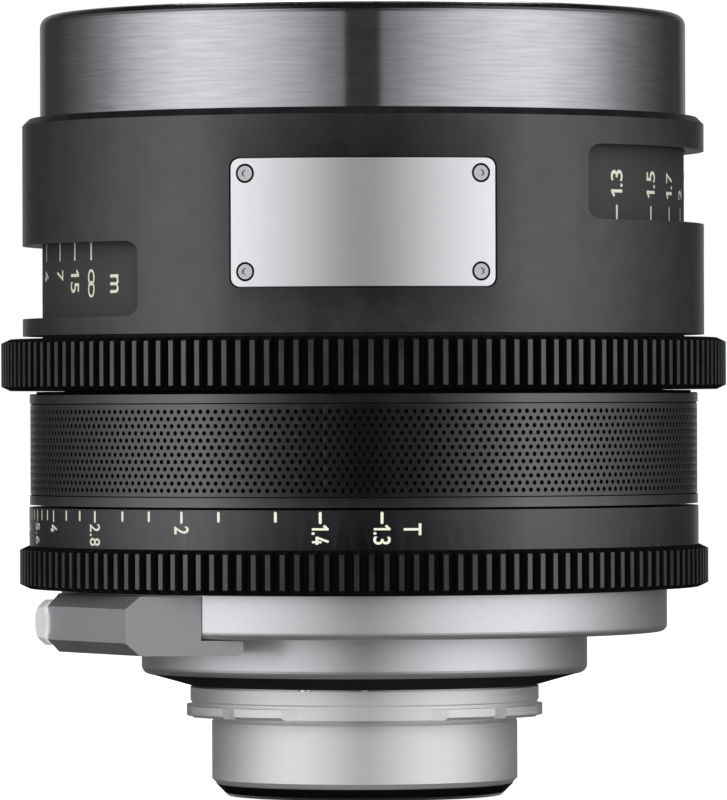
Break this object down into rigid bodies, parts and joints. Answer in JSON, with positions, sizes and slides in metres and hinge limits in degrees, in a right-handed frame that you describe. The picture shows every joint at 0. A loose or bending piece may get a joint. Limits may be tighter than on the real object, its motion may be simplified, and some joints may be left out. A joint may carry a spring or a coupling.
{
  "type": "cinema prime lens",
  "caption": "Cinema prime lens with a positive-lock mount, geared focus and iris rings, scale windows, perforated grip band and data connector boss",
  "frame": {"origin": "centre of the mount flange seat, where the flange meets the camera", "axes": "+Z along the optical axis towards the front, -Y towards the name plate, +X to the right when facing the plate"},
  "size_m": [0.128, 0.128, 0.1375],
  "materials": {
    "black_anodised": "satin black anodised",
    "grip": "satin black anodised, perforated",
    "scale_ring": "matt dark grey anodised",
    "baffle_black": "black anodised",
    "brushed_front": "circumferentially brushed, bright",
    "plate": "bead blasted, clear anodised",
    "housing": "bead blasted, silver grey",
    "connector_body": "fine blasted, mid grey",
    "mount_steel": "turned stainless steel",
    "bright_metal": "polished",
    "steel_fasteners": "plain steel",
    "brass": "plain brass",
    "blade_steel": "blackened spring steel",
    "insulator": "black",
    "glass": "coated optical glass"
  },
  "bodies": {
    "lens_body": {"front_ring": "brushed_front", "front_baffle": "baffle_black", "front_element_retainer": "black_anodised", "front_element": "glass", "second_element_retainer": "black_anodised", "second_element": "glass", "front_cell": "black_anodised", "barrel_screws": "steel_fasteners", "window_barrel": "black_anodised", "name_plate": "plate", "name_plate_screws": "steel_fasteners", "main_barrel": "black_anodised", "grip_sleeve": "grip", "rear_housing": "housing", "housing_screws": "steel_fasteners", "connector_block": "connector_body", "connector_nut": "bright_metal", "connector_shell": "bright_metal", "connector_insert": "insulator", "connector_pins": "brass", "pl_mount": "mount_steel", "pl_shim": "mount_steel", "mount_pin": "steel_fasteners", "mount_screws": "steel_fasteners", "rear_baffle": "baffle_black", "rear_cell": "black_anodised", "rear_cell_retainer": "black_anodised", "rear_group_element": "glass", "rear_spacer": "black_anodised", "rear_doublet_crown": "glass", "rear_doublet_flint": "glass", "rear_element_retainer": "black_anodised", "rear_element": "glass", "iris_base": "black_anodised", "iris_retainer": "black_anodised"},
    "focus_ring": {"focus_gear_ring": "black_anodised", "focus_scale_ring": "scale_ring", "focus_cam_sleeve": "black_anodised", "focus_ring_screws": "steel_fasteners"},
    "focus_group": {"focus_carriage": "black_anodised", "follower_pins": "steel_fasteners", "focus_front_element": "glass", "focus_rear_element": "glass", "focus_retainer": "black_anodised"},
    "iris_control": {"iris_ring": "black_anodised", "iris_rotor": "black_anodised", "iris_drive_pin": "steel_fasteners"},
    "blade_1": {"iris_blade_1": "blade_steel"},
    "blade_2": {"iris_blade_2": "blade_steel"},
    "blade_3": {"iris_blade_3": "blade_steel"},
    "blade_4": {"iris_blade_4": "blade_steel"},
    "blade_5": {"iris_blade_5": "blade_steel"},
    "blade_6": {"iris_blade_6": "blade_steel"},
    "blade_7": {"iris_blade_7": "blade_steel"},
    "blade_8": {"iris_blade_8": "blade_steel"},
    "blade_9": {"iris_blade_9": "blade_steel"},
    "blade_10": {"iris_blade_10": "blade_steel"},
    "blade_11": {"iris_blade_11": "blade_steel"}
  },
  "joints": [
    {"name": "focus_turn", "type": "hinge", "parent": "lens_body", "child": "focus_ring", "pos_m": [0, 0, 0.0618], "axis": [0, 0, 1], "range_deg": [-33.9, 266.1]},
    {"name": "focus_shift", "type": "slide", "parent": "lens_body", "child": "focus_group", "axis": [0, 0, 1], "range_m": [-0.00136, 0.01064]},
    {"name": "iris_turn", "type": "hinge", "parent": "lens_body", "child": "iris_control", "pos_m": [0, 0, 0.0296], "axis": [0, 0, 1], "range_deg": [-93.2, 8.7]},
    {"name": "blade_1_swing", "type": "hinge", "parent": "lens_body", "child": "blade_1", "pos_m": [0.03, 0, 0.0285], "axis": [0, 0, 1], "range_deg": [-28.46, 2.67]},
    {"name": "blade_2_swing", "type": "hinge", "parent": "lens_body", "child": "blade_2", "pos_m": [0.02524, 0.01622, 0.0285], "axis": [0, 0, 1], "range_deg": [-28.46, 2.67]},
    {"name": "blade_3_swing", "type": "hinge", "parent": "lens_body", "child": "blade_3", "pos_m": [0.01246, 0.02729, 0.0285], "axis": [0, 0, 1], "range_deg": [-28.46, 2.67]},
    {"name": "blade_4_swing", "type": "hinge", "parent": "lens_body", "child": "blade_4", "pos_m": [-0.00427, 0.02969, 0.0285], "axis": [0, 0, 1], "range_deg": [-28.46, 2.67]},
    {"name": "blade_5_swing", "type": "hinge", "parent": "lens_body", "child": "blade_5", "pos_m": [-0.01965, 0.02267, 0.0285], "axis": [0, 0, 1], "range_deg": [-28.46, 2.67]},
    {"name": "blade_6_swing", "type": "hinge", "parent": "lens_body", "child": "blade_6", "pos_m": [-0.02879, 0.00845, 0.0285], "axis": [0, 0, 1], "range_deg": [-28.46, 2.67]},
    {"name": "blade_7_swing", "type": "hinge", "parent": "lens_body", "child": "blade_7", "pos_m": [-0.02879, -0.00845, 0.0285], "axis": [0, 0, 1], "range_deg": [-28.46, 2.67]},
    {"name": "blade_8_swing", "type": "hinge", "parent": "lens_body", "child": "blade_8", "pos_m": [-0.01965, -0.02267, 0.0285], "axis": [0, 0, 1], "range_deg": [-28.46, 2.67]},
    {"name": "blade_9_swing", "type": "hinge", "parent": "lens_body", "child": "blade_9", "pos_m": [-0.00427, -0.02969, 0.0285], "axis": [0, 0, 1], "range_deg": [-28.46, 2.67]},
    {"name": "blade_10_swing", "type": "hinge", "parent": "lens_body", "child": "blade_10", "pos_m": [0.01246, -0.02729, 0.0285], "axis": [0, 0, 1], "range_deg": [-28.46, 2.67]},
    {"name": "blade_11_swing", "type": "hinge", "parent": "lens_body", "child": "blade_11", "pos_m": [0.02524, -0.01622, 0.0285], "axis": [0, 0, 1], "range_deg": [-28.46, 2.67]}
  ],
  "couplings": [
    {"joint": "focus_shift", "follows": "focus_turn", "m_per_rad": 0.0022918},
    {"joint": "blade_1_swing", "follows": "iris_turn", "ratio": 0.3052},
    {"joint": "blade_2_swing", "follows": "iris_turn", "ratio": 0.3052},
    {"joint": "blade_3_swing", "follows": "iris_turn", "ratio": 0.3052},
    {"joint": "blade_4_swing", "follows": "iris_turn", "ratio": 0.3052},
    {"joint": "blade_5_swing", "follows": "iris_turn", "ratio": 0.3052},
    {"joint": "blade_6_swing", "follows": "iris_turn", "ratio": 0.3052},
    {"joint": "blade_7_swing", "follows": "iris_turn", "ratio": 0.3052},
    {"joint": "blade_8_swing", "follows": "iris_turn", "ratio": 0.3052},
    {"joint": "blade_9_swing", "follows": "iris_turn", "ratio": 0.3052},
    {"joint": "blade_10_swing", "follows": "iris_turn", "ratio": 0.3052},
    {"joint": "blade_11_swing", "follows": "iris_turn", "ratio": 0.3052}
  ]
}
